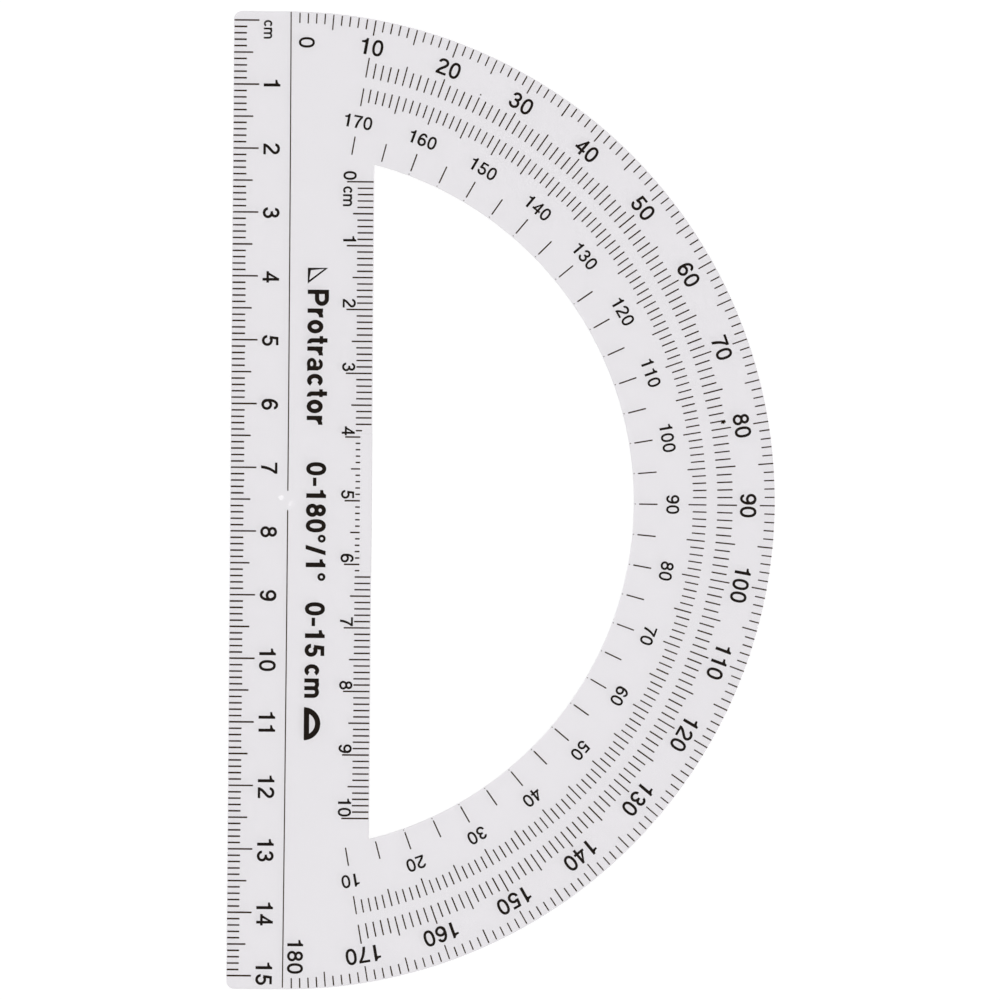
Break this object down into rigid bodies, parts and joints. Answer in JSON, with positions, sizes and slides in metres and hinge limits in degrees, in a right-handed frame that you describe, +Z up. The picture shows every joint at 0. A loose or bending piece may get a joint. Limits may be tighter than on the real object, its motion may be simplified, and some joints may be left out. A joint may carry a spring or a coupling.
{
  "type": "protractor",
  "caption": "Clear half-round drawing protractor with a half-moon window, degree scales running both ways, a centimetre ruler on its straight edge and a shorter one inside.",
  "frame": {"origin": "centre of the plate's outer arc on the underside, straight below the vertex dimple that angles are measured from", "axes": "+X along the straight edge towards the 180 degree end, +Y towards the 90 degree mark, +Z up through the printed face"},
  "size_m": [0.1536, 0.0855, 0.0018],
  "materials": {
    "clear_plastic": "clear polished polystyrene",
    "black_ink": "thin printed ink, satin"
  },
  "bodies": {
    "root": {"plate": "clear_plastic", "base_line_0_end": "black_ink", "base_line_180_end": "black_ink"}
  },
  "joints": []
}
